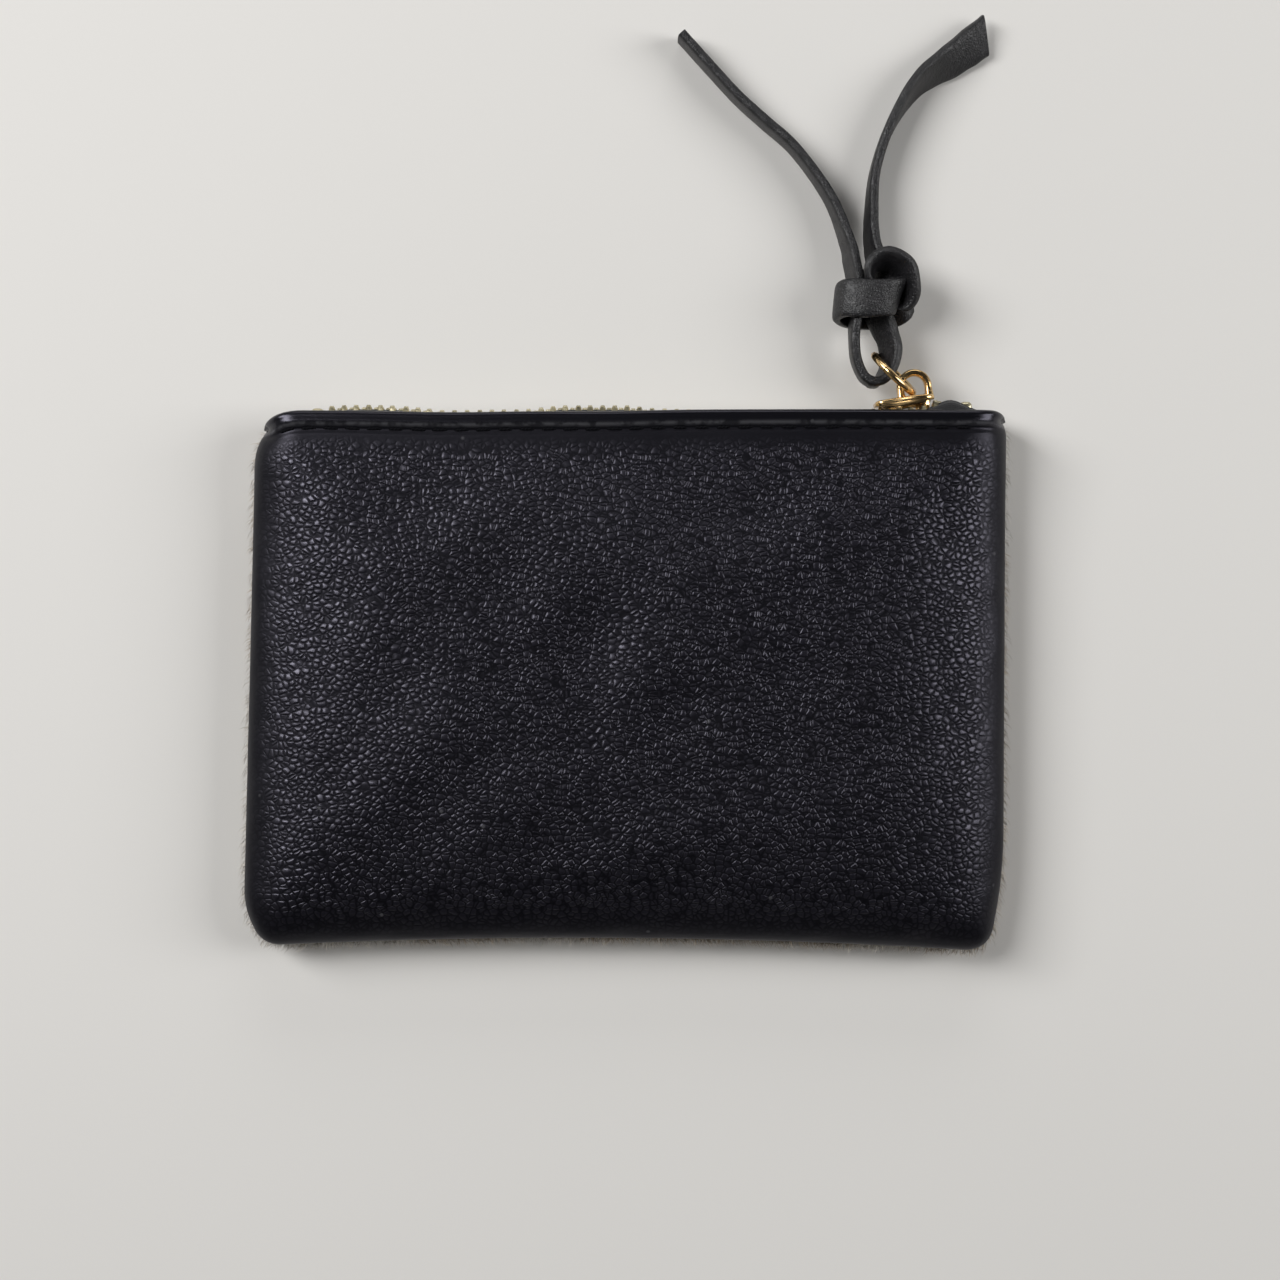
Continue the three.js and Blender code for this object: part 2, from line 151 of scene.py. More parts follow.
# straight sides joined by rounded corners, counter-clockwise from the right end of the zip; each corner is a
# quadratic curve that starts and ends the corner's length away from its point
def outlineSides():
    corners = [outlineShape[k] for k in
               ("topRight", "topLeft", "leftLow", "bottomLeft", "bottomRight", "rightLow")]
    points, marks = [], []
    t = np.linspace(0, 1, 17)[:, None]
    for i, (x, y, length) in enumerate(corners):
        here = np.array([x, y])
        before, after = (np.array(corners[(i + k) % 6][:2]) for k in (-1, 1))
        enter = here + (before - here) * length / np.linalg.norm(before - here)
        leave = here + (after - here) * length / np.linalg.norm(after - here)
        marks.append(len(points) + 8)
        points.extend((1 - t)**2 * enter + 2 * t * (1 - t) * here + t**2 * leave)
        nextLength = corners[(i + 1) % 6][2]
        end = after + (here - after) * nextLength / np.linalg.norm(after - here)
        steps = int(np.linalg.norm(end - leave) / 2.5) + 1
        points.extend(leave + (end - leave) * k / steps for k in range(1, steps))
    points = np.array(points)
    x, y = points.T
    half = frontHigh[0]
    bottom = smooth(-y, -backLow[1] - 9, -backLow[1] - 2)
    points[:, 1] += outlineShape["bow"] * bottom * np.clip(1 - (x / half)**2, 0, 1)
    top = smooth(y, frontHigh[1] - 6, frontHigh[1] - 2)
    dips = sum(much * np.exp(-((x - at) / wide)**2) for at, wide, much in outlineShape["dips"])
    points[:, 1] += outlineShape["topWave"] * top * dips
    cut = [marks[0], marks[1], (marks[2] + marks[3]) // 2, marks[4]]
    pieces = [points[a:b + 1] for a, b in zip(cut, cut[1:])]
    pieces.append(np.concatenate([points[cut[3]:], points[:cut[0] + 1]]))
    top, left, bottom, right = pieces
    return {"top": top[::-1], "left": left[::-1], "bottom": bottom, "right": right}


sides = outlineSides()
topLine = sides["top"]
seamLine = np.concatenate([sides["left"][::-1], sides["bottom"][1:], sides["right"][1:]])


# even steps drawn closer together at both ends
def endWeighted(count, pull):
    t = np.linspace(0, 1, count)
    return t - pull * np.sin(2 * pi * t) / (2 * pi)


# a patch between the four sides: the two blends across, less the blend of the corners
def patchGrid(columns, rows, pull=0.72):
    u, v = endWeighted(columns, pull), endWeighted(rows, pull)
    bottom, top = (resample(sides[k], u)[None] for k in ("bottom", "top"))
    left, right = (resample(sides[k], v)[:, None] for k in ("left", "right"))
    u, v = u[None, :, None], v[:, None, None]
    low = (1 - u) * bottom[:, :1] + u * bottom[:, -1:]
    high = (1 - u) * top[:, :1] + u * top[:, -1:]
    return (1 - v) * bottom + v * top + (1 - u) * left + u * right - (1 - v) * low - v * high


# a rounded distance to a line: the mean of 1 / r^4 along it, brought back to a length, so that it is the true
# distance beside a straight side and shorter in a corner
def distanceTo(points, line):
    total = np.zeros(len(points))
    for a, b in zip(line[:-1], line[1:]):
        length = np.linalg.norm(b - a)
        along = (b - a) / length
        near = (points - a) @ along
        h = np.maximum(np.abs((points - a) @ np.array([-along[1], along[0]])), 0.02)
        def part(s):
            return s / (2 * h**2 * (h**2 + s**2)) + np.arctan(s / h) / (2 * h**3)
        total += part(near) - part(near - length)
    return (total / (pi / 2))**(-1 / 3)


# the side of a soft bag: up steeply from the seam, level at the reach
def bagRoll(distance, reach, power):
    t = np.clip(distance / reach, 0, 1)
    return np.sqrt(1 - (1 - t)**power)


front = {
    "side": 1, "columns": 252, "rows": 180, "reach": 29.0, "mouthReach": 9.0, "power": 2.4,
    "lip": 5.9, "crown": rise, "swellFrom": 3.3, "swellTo": 26.0,
    "fold": 0.8, "flap": 3.4, "thickness": 0.7,
    "stitchInset": 2.1, "stitchDepth": 0.5, "stitchWidth": 0.5, "ridge": 0.16, "highlightAt": 1.35,
    "dents": 0.3, "puckers": 0.12,
}
back = {
    "side": -1, "columns": 200, "rows": 140, "reach": 9.5, "mouthReach": 9.0, "power": 2.6,
    "lip": 5.9, "crown": rise, "swellFrom": 3.0, "swellTo": 14.0,
    "fold": 0.8, "flap": 3.4, "thickness": 0.7,
    "stitchInset": 2.1, "stitchDepth": 0.3, "stitchWidth": 0.5, "ridge": 0.1, "highlightAt": 1.35,
    "dents": 0.0, "puckers": 0.0,
}


# height of a panel's outer face above the seam: the side's roll times a height that is low along the zip and
# full in the middle, less the groove that the stitches pull, plus soft dents and puckers near the seam
def panelRise(piece, points):
    seamFar, topFar = distanceTo(points, seamLine), distanceTo(points, topLine)
    reach = mix(piece["mouthReach"], piece["reach"], smooth(topFar, 3, piece["swellTo"]))
    roll = bagRoll(seamFar, reach, piece["power"])
    height = mix(piece["lip"], piece["crown"], smooth(topFar, piece["swellFrom"], piece["swellTo"]))
    groove = piece["stitchDepth"] * np.exp(-((topFar - piece["stitchInset"]) / piece["stitchWidth"])**2)
    hollow = smooth(topFar, piece["stitchInset"], piece["stitchInset"] + 0.6)
    fade = 1 - smooth(topFar, piece["stitchInset"] + 1, piece["swellTo"] * 0.45)
    groove += 0.55 * piece["stitchDepth"] * hollow * fade
    groove -= piece["ridge"] * np.exp(-((topFar - 0.9) / 0.6)**2)
    inside = smooth(seamFar, 3, 16) * smooth(topFar, 5, 18)
    dents = piece["dents"] * inside * (waves(points, 34, 3) + 0.5 * waves(points, 17, 8))
    close = np.exp(-seamFar / 5) * (1 - np.exp(-seamFar / 0.8))
    dents += piece["puckers"] * close * waves(points, 7, 5)
    return roll * (height - groove) + dents, seamFar, topFar


# a panel's outer skin: the patch lifted to its height, then the turned edge carried over a half circle and
# back under as a flap; the seam is drawn in a little where the two panels meet
def panelSkin(name, piece, columns=None, rows=None, inset=0.0, turned=True):
    side, columns, rows = piece["side"], columns or piece["columns"], rows or piece["rows"]
    grid = patchGrid(columns, rows)
    points = grid.reshape(-1, 2)
    height, seamFar, topFar = panelRise(piece, points)
    flat = points.copy()
    drawn = 0.55 * np.exp(-(height / 0.6)**2)[:, None]
    flat -= flat / np.array([frontHigh[0], frontHigh[1]]) * (drawn + inset)
    surface = np.column_stack([flat, seamZ + side * np.maximum(height - inset, 0.0)])
    surface = surface.reshape(rows, columns, 3)
    edge = surface[-1]
    along = np.gradient(edge[:, :2], axis=0)
    out = np.column_stack([-along[:, 1], along[:, 0]]) / np.linalg.norm(along, axis=1)[:, None]
    layers = [surface]
    if turned:
        radius = np.minimum(piece["fold"], np.abs(edge[:, 2] - seamZ) * 0.48)[:, None]
        for angle in np.linspace(0, pi, 11)[1:]:
            ring = np.column_stack([edge[:, :2] + out * radius * sin(angle), edge[:, 2]])
            ring[:, 2:] -= side * radius * (1 - cos(angle))
            layers.append(ring[None])
        for share in (0.3, 0.65, 1.0):
            flap = layers[10].copy()
            flap[0, :, :2] -= out * piece["flap"] * share * np.minimum(radius / piece["fold"], 1)
            layers.append(flap)
    skin = np.concatenate(layers)
    faces = gridFaces(skin.shape[0], columns)
    if side < 0:
        faces = faces[:, ::-1]
    obj = newMesh(name, skin.reshape(-1, 3), faces.tolist())
    extra = np.zeros((skin.shape[0] - rows) * columns)
    grain = smooth(seamFar, 0.5, 7.5) * smooth(topFar, 3.0, 7.0)
    addFloats(obj, "grain", np.concatenate([grain, extra]))
    addFloats(obj, "polish", np.concatenate([1 - smooth(topFar, 1.5, 2.6), extra + 1]))
    # the thin band just above the stitches where a pale highlight line is painted on the lip
    addFloats(obj, "lipHighlight", np.concatenate([np.exp(-((topFar - piece["highlightAt"]) / 0.28)**2), extra]))
    return obj


def unit(vectors):
    return vectors / np.linalg.norm(vectors, axis=-1, keepdims=True)


# a closed section carried along a path; wide is the way its width points; corner 2 is an ellipse, larger is
# squarer; slant leans the last cut; it gives vertices, faces and, for the finish, the place along, across
# and up
def sweep(path, wide, halfWide, halfThick, around=16, corner=2.0, slant=0.0):
    path = np.asarray(path, float)
    tangent = unit(np.gradient(path, axis=0))
    wide = np.broadcast_to(np.asarray(wide, float), path.shape)
    wide = unit(wide - (wide * tangent).sum(1)[:, None] * tangent)
    up = np.cross(tangent, wide)
    angle = 2 * pi * (np.arange(around) + 0.5) / around
    across = np.sign(np.cos(angle)) * np.abs(np.cos(angle))**(2 / corner)
    high = np.sign(np.sin(angle)) * np.abs(np.sin(angle))**(2 / corner)
    across = across * np.broadcast_to(halfWide, len(path))[:, None]
    high = high * np.broadcast_to(halfThick, len(path))[:, None]
    points = path[:, None] + wide[:, None] * across[..., None] + up[:, None] * high[..., None]
    length = np.concatenate([[0], np.cumsum(np.linalg.norm(np.diff(path, axis=0), axis=1))])
    lean = slant * smooth(length, length[-1] - 6, length[-1])
    points += tangent[:, None] * (lean[:, None] * across)[..., None]
    laid = np.stack([np.broadcast_to(length[:, None], across.shape), across, high], -1)
    rows = len(path)
    faces = gridFaces(rows, around, wrapColumns=True).tolist()
    faces.append(list(range(around))[::-1])
    faces.append(list(range((rows - 1) * around, rows * around)))
    return points.reshape(-1, 3), faces, laid.reshape(-1, 3)


# the outline, counter-clockwise, moved inwards
def insetLine(outline, amount):
    back = unit(outline - np.roll(outline, 1, axis=0))
    ahead = unit(np.roll(outline, -1, axis=0) - outline)
    lean = unit(back + ahead)
    return outline + np.column_stack([-lean[:, 1], lean[:, 0]]) * amount


# an outline stacked between two heights, its edges rounded
def slab(outline, low, high, edge, steps=4):
    angle = np.linspace(0, pi / 2, steps)
    inset = np.concatenate([edge * (1 - np.sin(angle)), edge * (1 - np.cos(angle))])
    height = np.concatenate([low + edge * (1 - np.cos(angle)), high - edge * (1 - np.sin(angle))])
    layers = [np.column_stack([insetLine(outline, i), np.full(len(outline), h)])
              for i, h in zip(inset, height)]
    points = np.concatenate(layers)
    count = len(outline)
    faces = gridFaces(len(layers), count, wrapColumns=True).tolist()
    faces.append(list(range(count))[::-1])
    faces.append(list(range((len(layers) - 1) * count, len(layers) * count)))
    return points, faces, points.copy()


# several solids as one piece
def newPiece(name, parts, sharp=40):
    vertices, faces, laid, start = [], [], [], 0
    for points, partFaces, partLaid in parts:
        vertices.append(points)
        faces.extend([[k + start for k in face] for face in partFaces])
        laid.append(partLaid)
        start += len(points)
    obj = newMesh(name, np.concatenate(vertices), faces)
    obj.data.set_sharp_from_angle(angle=radians(sharp))
    attribute = obj.data.attributes.new("laid", "FLOAT_VECTOR", "POINT")
    attribute.data.foreach_set("vector", (np.concatenate(laid) * mm).astype(np.float32).ravel())
    return obj


def addNode(tree, kind, inputs=None, **settings):
    node = tree.nodes.new("ShaderNode" + kind)
    for key, value in settings.items():
        setattr(node, key, value)
    for key, value in (inputs or {}).items():
        if isinstance(value, bpy.types.NodeSocket):
            tree.links.new(value, node.inputs[key])
        else:
            node.inputs[key].default_value = value
    return node


def fillGroup(tree, group, inputs):
    return addNode(tree, "Group", inputs, node_tree=group)


def newGroup(name, inputs, outputs):
    group = bpy.data.node_groups.new(name, "ShaderNodeTree")
    for label, kind, value in inputs:
        socket = group.interface.new_socket(label, in_out="INPUT", socket_type="NodeSocket" + kind)
        if value is not None:
            socket.default_value = value
    for label, kind in outputs:
        group.interface.new_socket(label, in_out="OUTPUT", socket_type="NodeSocket" + kind)
    return group, group.nodes.new("NodeGroupInput").outputs, group.nodes.new("NodeGroupOutput").inputs


def mathNode(tree, operation, a, b=0.0, clamp=False):
    return addNode(tree, "Math", {0: a, 1: b}, operation=operation, use_clamp=clamp).outputs[0]


def noiseNode(tree, vector, scale, detail):
    inputs = {"Vector": vector, "Scale": scale, "Detail": detail}
    return addNode(tree, "TexNoise", inputs).outputs["Fac"]


def rangeNode(tree, value, toLow, toHigh):
    inputs = {"Value": value, "To Min": toLow, "To Max": toHigh}
    return addNode(tree, "MapRange", inputs).outputs["Result"]


def spreadNode(tree, value, low, high, toLow=0.0, toHigh=1.0):
    inputs = {"Value": value, "From Min": low, "From Max": high, "To Min": toLow, "To Max": toHigh}
    return addNode(tree, "MapRange", inputs, interpolation_type="SMOOTHSTEP").outputs["Result"]


def mixColour(tree, share, a, b):
    inputs = {"Factor": share, 6: a, 7: b}
    return addNode(tree, "Mix", inputs, data_type="RGBA").outputs[2]


# rounded pebbles parted by creases: the crease mask is 0 at a cell's wall and 1 a little way in; height is
# that mask times a dome, which falls with the square of the distance to the cell's centre; the place is
# pushed about by a slow noise so that the cells bend
def makePebbles():
    group, given, made = newGroup(
        "pebbles",
        [("Vector", "Vector", None), ("Scale", "Float", 850.0), ("Wander", "Float", 0.0008)],
        [("Height", "Float"), ("Crease", "Float")])
    push = addNode(group, "TexNoise", {"Vector": given["Vector"], "Scale": 260.0, "Detail": 2.0})
    middle = {0: push.outputs["Color"], 1: (0.5, 0.5, 0.5)}
    centred = addNode(group, "VectorMath", middle, operation="SUBTRACT").outputs[0]
    reach = {0: centred, "Scale": given["Wander"]}
    scaled = addNode(group, "VectorMath", reach, operation="SCALE").outputs[0]
    bent = addNode(group, "VectorMath", {0: given["Vector"], 1: scaled}, operation="ADD").outputs[0]
    cellInputs = {"Vector": bent, "Scale": given["Scale"]}
    wall = addNode(group, "TexVoronoi", cellInputs, feature="DISTANCE_TO_EDGE")
    cell = addNode(group, "TexVoronoi", cellInputs, feature="F1")
    crease = spreadNode(group, wall.outputs["Distance"], 0.0, 0.25)
    far = mathNode(group, "MULTIPLY", cell.outputs["Distance"], cell.outputs["Distance"])
    dome = mathNode(group, "MULTIPLY_ADD", far, -1.3)
    dome.node.inputs[2].default_value = 1.0
    group.links.new(mathNode(group, "MULTIPLY", crease, dome), made["Height"])
    group.links.new(crease, made["Crease"])
    return group


# threads crossing at right angles: the higher of two sine waves, along and across
def makeWeave():
    group, given, made = newGroup(
        "weave", [("Vector", "Vector", None), ("Scale", "Float", 900.0)], [("Height", "Float")])
    bands = [addNode(group, "TexWave", {"Vector": given["Vector"], "Scale": given["Scale"], "Distortion": 0.4,
                                        "Detail Scale": 2.0}, bands_direction=way).outputs["Fac"]
             for way in ("X", "Y")]
    group.links.new(mathNode(group, "MAXIMUM", *bands), made["Height"])
    return group


# fine lines: noise drawn out along one direction, kept only where it is strongest
def makeScratches():
    group, given, made = newGroup(
        "scratches", [("Vector", "Vector", None), ("Scale", "Float", 900.0)], [("Mask", "Float")])
    drawn = addNode(group, "Mapping", {"Vector": given["Vector"], "Rotation": (0.3, 0.5, 0.6),
                                       "Scale": (0.06, 1.0, 1.0)})
    noise = addNode(group, "TexNoise", {"Vector": drawn.outputs[0], "Scale": given["Scale"], "Detail": 4.0})
    group.links.new(spreadNode(group, noise.outputs["Fac"], 0.52, 0.68), made["Mask"])
    return group


# lint: sparse round specks, where the distance to a random cell's centre is small and its tone is high
def makeDust():
    group, given, made = newGroup(
        "dust", [("Vector", "Vector", None), ("Scale", "Float", 420.0)], [("Mask", "Float")])
    cell = addNode(group, "TexVoronoi", {"Vector": given["Vector"], "Scale": given["Scale"]}, feature="F1")
    speck = spreadNode(group, cell.outputs["Distance"], 0.05, 0.13, 1.0, 0.0)
    tone = addNode(group, "SeparateColor", {0: cell.outputs["Color"]}).outputs[0]
    chosen = mathNode(group, "GREATER_THAN", tone, 0.9)
    group.links.new(mathNode(group, "MULTIPLY", speck, chosen), made["Mask"])
    return group


pebbles = makePebbles()
weave = makeWeave()
scratches = makeScratches()
dust = makeDust()


# a material with its tree, its main shader and a vector to lay its textures on
def newMaterial(name, colour, roughness, laid=False, **values):
    material = bpy.data.materials.new(name)
    material.use_nodes = True
    tree = material.node_tree
    shader = tree.nodes["Principled BSDF"]
    shader.inputs["Base Color"].default_value = (*colour, 1)
    shader.inputs["Roughness"].default_value = roughness
    for key, value in values.items():
        shader.inputs[key].default_value = value
    if laid:
        vector = addNode(tree, "Attribute", attribute_name="laid").outputs["Vector"]
    else:
        vector = addNode(tree, "TexCoord").outputs["Object"]
    return material, tree, shader, vector


def joinUp(tree, shader, **sockets):
    for key, value in sockets.items():
        tree.links.new(value, shader.inputs[key.replace("_", " ")])


def bumpNode(tree, height, distance, strength=1.0, normal=None):
    inputs = {"Height": height, "Distance": distance, "Strength": strength}
    if normal is not None:
        inputs["Normal"] = normal
    return addNode(tree, "Bump", inputs).outputs[0]


# dark is the creases' colour and light the pebble tops': the step between them is painted shade
leather = {
    "dark": (0.0014, 0.0014, 0.0022), "light": (0.0062, 0.0058, 0.0086), "smoothPart": (0.002, 0.002, 0.003),
    "rough": (0.42, 0.24), "shine": (0.13, 0.6), "tint": (0.86, 0.83, 1.0, 1),
    "smoothRough": 0.4, "smoothShine": 0.26, "polishRough": 0.27, "polishShine": 0.42,
    # the pale grey on the next line paints a highlight line along the lip
    "paintedLipHighlight": (0.055, 0.055, 0.06, 1), "grainHeight": 0.0001, "creaseHeight": 0.00028,
}


# pebbles over a slow crease; the tops are smoother and shinier than the creases, and the creases are painted
# darker as shade; the grain attribute fades them out towards the seams and the zip edge, where the leather
# is stretched smooth; the polish attribute shines the turned edge, and a thin band along it, times a noise,
# paints a pale highlight line there
def leatherMaterial():
    material, tree, shader, vector = newMaterial("blackLeather", leather["dark"], 0.5,
                                                 **{"Specular Tint": leather["tint"]})
    grain = addNode(tree, "Attribute", attribute_name="grain").outputs["Fac"]
    stretched = {"Vector": vector, "Rotation": (0, 0, 0.12), "Scale": (0.86, 1.06, 0.5)}
    drawn = addNode(tree, "Mapping", stretched)
    cells = fillGroup(tree, pebbles, {"Vector": drawn.outputs[0], "Scale": 1060.0})
    height = mathNode(tree, "MULTIPLY", cells.outputs["Height"], grain)
    fine = noiseNode(tree, vector, 2600.0, 3.0)
    slow = noiseNode(tree, vector, 55.0, 2.0)
    lengthwise = {"Vector": vector, "Rotation": (0, 0, 0.06), "Scale": (0.22, 1.0, 1.0)}
    creaseWay = addNode(tree, "Mapping", lengthwise)
    crease = noiseNode(tree, creaseWay.outputs[0], 420.0, 3.0)
    tops = cells.outputs["Crease"]
    # painted shade: the creases take the dark colour and the pebble tops the paler one
    creaseShaded = mixColour(tree, tops, (*leather["dark"], 1), (*leather["light"], 1))
    colour = mixColour(tree, grain, (*leather["smoothPart"], 1), creaseShaded)
    lint = fillGroup(tree, dust, {"Vector": vector, "Scale": 300.0}).outputs["Mask"]
    dustAndPaintedLight = mixColour(tree, mathNode(tree, "MULTIPLY", lint, 0.2), colour, (0.2, 0.2, 0.21, 1))
    # painted highlight: a pale line along the lip, just above the stitches, broken up by a noise
    highlightBreakup = noiseNode(tree, vector, 700.0, 3.0)
    lipHighlight = addNode(tree, "Attribute", attribute_name="lipHighlight").outputs["Fac"]
    lipHighlight = mathNode(tree, "MULTIPLY", lipHighlight, spreadNode(tree, highlightBreakup, 0.36, 0.6, 0.25, 1.0))
    dustAndPaintedLight = mixColour(tree, lipHighlight, dustAndPaintedLight, leather["paintedLipHighlight"])

    def graded(name, smoothValue):
        low, high = leather[name]
        worked = rangeNode(tree, tops, low, high)
        return addNode(tree, "Mix", {"Factor": grain, 2: smoothValue, 3: worked}).outputs[0]

    rough = mathNode(tree, "MULTIPLY_ADD", slow, 0.14)
    tree.links.new(graded("rough", leather["smoothRough"] - 0.07), rough.node.inputs[2])
    polish = addNode(tree, "Attribute", attribute_name="polish").outputs["Fac"]
    rough = addNode(tree, "Mix", {"Factor": polish, 2: rough, 3: leather["polishRough"]}).outputs[0]
    shine = addNode(tree, "Mix", {"Factor": polish, 2: graded("shine", leather["smoothShine"]),
                                 3: leather["polishShine"]}).outputs[0]
    bump = bumpNode(tree, crease, leather["creaseHeight"], 0.3)
    bump = bumpNode(tree, height, leather["grainHeight"], 1.0, bump)
    bump = bumpNode(tree, fine, 0.00002, 0.5, bump)
    joinUp(tree, shader, Base_Color=dustAndPaintedLight, Roughness=rough, Normal=bump, Specular_IOR_Level=shine)
    return material


# smooth leather: a fine noise drawn along the strip mixes two blacks, a slow noise sets the roughness, and
# wrinkles run across it over tiny pebbles
def laceMaterial():
    material, tree, shader, vector = newMaterial("laceLeather", (0.006, 0.006, 0.007), 0.42, True)
    drawn = addNode(tree, "Mapping", {"Vector": vector, "Scale": (0.35, 1.0, 1.0)})
    fine = noiseNode(tree, drawn.outputs[0], 1500.0, 4.0)
    slow = noiseNode(tree, vector, 160.0, 2.0)
    cells = fillGroup(tree, pebbles, {"Vector": vector, "Scale": 2400.0, "Wander": 0.0003}).outputs["Height"]
    share = spreadNode(tree, fine, 0.35, 0.75)
    colour = mixColour(tree, share, (0.0045, 0.0045, 0.0055, 1), (0.014, 0.013, 0.015, 1))
    rough = rangeNode(tree, slow, 0.34, 0.56)
    across = addNode(tree, "Mapping", {"Vector": vector, "Scale": (1.0, 0.3, 0.3)})
    wrinkle = noiseNode(tree, across.outputs[0], 800.0, 2.0)
    bump = bumpNode(tree, slow, 0.0006, 0.25)
    bump = bumpNode(tree, wrinkle, 0.0003, 0.35, bump)
    bump = bumpNode(tree, cells, 0.00006, 0.8, bump)
    bump = bumpNode(tree, fine, 0.00005, 0.6, bump)
    joinUp(tree, shader, Base_Color=colour, Roughness=rough, Normal=bump)
    return material


# metal: a slow noise dulls the tint in patches and bumps it; fine scratches are rougher and bumped
def metalMaterial(name, colour, dull, roughness):
    material, tree, shader, vector = newMaterial(name, colour, roughness, Metallic=1.0)
    lines = fillGroup(tree, scratches, {"Vector": vector, "Scale": 2200.0}).outputs["Mask"]
    slow = noiseNode(tree, vector, 420.0, 3.0)
    worn = spreadNode(tree, slow, 0.42, 0.66)
    tint = mixColour(tree, worn, (*colour, 1), (*dull, 1))
    rough = mathNode(tree, "MULTIPLY_ADD", lines, 0.12)
    rough.node.inputs[2].default_value = roughness
    bump = bumpNode(tree, lines, 0.00001, 0.35)
    bump = bumpNode(tree, slow, 0.00006, 0.25, bump)
    joinUp(tree, shader, Base_Color=tint, Roughness=rough, Normal=bump)
    return material


# woven cloth: the weave raises and lightens the threads, with a fine fuzz in its tone and roughness
def clothMaterial(name, dark, light, scale, height, laid):
    material, tree, shader, vector = newMaterial(name, dark, 0.85, laid)
    shader.inputs["Sheen Weight"].default_value = 0.15
    threads = fillGroup(tree, weave, {"Vector": vector, "Scale": scale}).outputs["Height"]
    fuzz = noiseNode(tree, vector, 3200.0, 3.0)
    shade = mathNode(tree, "MULTIPLY", threads, fuzz)
    colour = mixColour(tree, shade, (*dark, 1), (*light, 1))
    rough = rangeNode(tree, fuzz, 0.75, 0.98)
    bump = bumpNode(tree, threads, height, 0.9)
    bump = bumpNode(tree, fuzz, 0.00004, 0.5, bump)
    joinUp(tree, shader, Base_Color=colour, Roughness=rough, Normal=bump)
    return material


# twisted thread: a wave that runs slantwise round it
def threadMaterial():
    material, tree, shader, vector = newMaterial("blackThread", (0.004, 0.004, 0.005), 0.8, True,
                                                 **{"Specular IOR Level": 0.06})
    slanted = addNode(tree, "Mapping", {"Vector": vector, "Rotation": (0, 0, 0.7)})
    turns = {"Vector": slanted.outputs[0], "Scale": 700.0, "Distortion": 0.5}
    ply = addNode(tree, "TexWave", turns).outputs["Fac"]
    fuzz = noiseNode(tree, vector, 6000.0, 2.0)
    share = mathNode(tree, "MULTIPLY", ply, fuzz)
    colour = mixColour(tree, share, (0.002, 0.002, 0.003, 1), (0.009, 0.009, 0.011, 1))
    bump = bumpNode(tree, ply, 0.00006, 0.9)
    rough = rangeNode(tree, fuzz, 0.7, 0.95)
    joinUp(tree, shader, Base_Color=colour, Roughness=rough, Normal=bump)
    return material


coatShades = {
    "pale": (0.5, 0.46, 0.4, 1), "tan": (0.27, 0.19, 0.105, 1), "dark": (0.055, 0.045, 0.032, 1),
    # the very dark brown on the next line is painted shade between the hairs
    "gap": (0.03, 0.024, 0.018, 1), "tip": (0.7, 0.66, 0.6, 1), "deep": (0.06, 0.048, 0.035, 1),
}


# the hide's patches: white-grey, tan and dark brown by a slow noise on the place, the same for skin and hair
def coatColour(tree, vector):
    patch = addNode(tree, "TexNoise", {"Vector": vector, "Scale": 26.0, "Detail": 3.0, "Distortion": 0.6})
    small = addNode(tree, "TexNoise", {"Vector": vector, "Scale": 150.0, "Detail": 3.0})
    tanShare = spreadNode(tree, patch.outputs["Fac"], 0.46, 0.53)
    tan = mixColour(tree, tanShare, coatShades["pale"], coatShades["tan"])
    darkShare = spreadNode(tree, small.outputs["Fac"], 0.5, 0.72, 0.0, 0.55)
    return mixColour(tree, darkShare, tan, coatShades["dark"])


# skin under the hair: noise drawn out along the hair's lie mixes painted shade between the hairs, a dark
# brown, with the patch's colour and raises it
def hideMaterial():
    material, tree, shader, vector = newMaterial("hideSkin", (0.3, 0.25, 0.2), 0.8)
    coat = coatColour(tree, vector)
    drawn = addNode(tree, "Mapping", {"Vector": vector, "Scale": (1.0, 0.12, 1.0)})
    fibres = noiseNode(tree, drawn.outputs[0], 3800.0, 3.0)
    # painted shade: dark streaks between the hairs
    colour = mixColour(tree, spreadNode(tree, fibres, 0.35, 0.65), coatShades["gap"], coat)
    rough = rangeNode(tree, fibres, 0.7, 0.95)
    bump = bumpNode(tree, fibres, 0.00025, 0.9)
    joinUp(tree, shader, Base_Color=colour, Roughness=rough, Normal=bump)
    return material


# hair: the patch's colour at its root, paler to the tip, each hair with its own shade
def hairMaterial():
    material, tree, shader, vector = newMaterial("hideHairs", (0.4, 0.34, 0.27), 0.45)
    root = addNode(tree, "Attribute", attribute_name="root").outputs["Vector"]
    coat = coatColour(tree, root)
    shade = addNode(tree, "Attribute", attribute_name="shade").outputs["Fac"]
    tip = addNode(tree, "Attribute", attribute_name="tip").outputs["Fac"]
    pale = mixColour(tree, mathNode(tree, "MULTIPLY", tip, 0.8), coat, coatShades["tip"])
    colour = mixColour(tree, mathNode(tree, "MULTIPLY", shade, 0.45), pale, coatShades["deep"])
    rough = rangeNode(tree, shade, 0.38, 0.6)
    joinUp(tree, shader, Base_Color=colour, Roughness=rough)
    return material


# a light is its place, its power, and its width and depth in metres
stageSet = {
    "target": (1.98, 6.6), "distance": 400.0, "field": 211.0, "floorHalf": 3000,
    "leftLight": (-560, 300, 680, 7.6, 0.34, 0.6),
    "rightLight": (700, 100, 560, 3.9, 0.34, 0.6),
    "topLight": (60, 900, 420, 1.6, 0.7, 0.3),
    "world": (0.3, 0.01), "backdrop": (0.6, 0.595, 0.58, 1), "farFloor": (0.5, 0.495, 0.485, 1),
}


